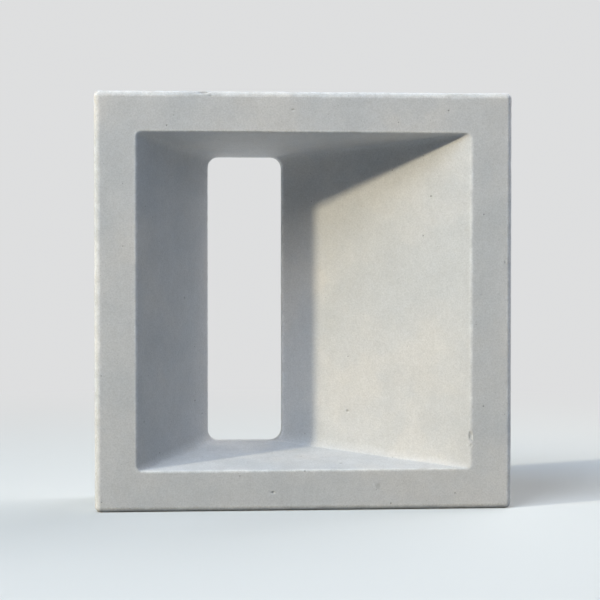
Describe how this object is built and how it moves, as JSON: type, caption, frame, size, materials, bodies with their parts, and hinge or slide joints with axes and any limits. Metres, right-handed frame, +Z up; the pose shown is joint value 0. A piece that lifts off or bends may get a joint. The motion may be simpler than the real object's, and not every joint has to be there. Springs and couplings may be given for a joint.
{
  "type": "concrete screen block",
  "caption": "Square cast concrete screen block: a flat front frame round an opening whose slanted walls narrow to an off-centre upright slot at the back, with joint channels round its sides.",
  "frame": {"origin": "under the middle of the block, on the plane its lower side stands on", "axes": "front frame faces -Y, back face +Y, +Z up, +X to the right of the front view"},
  "size_m": [0.29, 0.09, 0.29],
  "materials": {
    "concrete": "cast cement, matt, pale grey"
  },
  "bodies": {
    "root": {"screen_block": "concrete"}
  },
  "joints": []
}
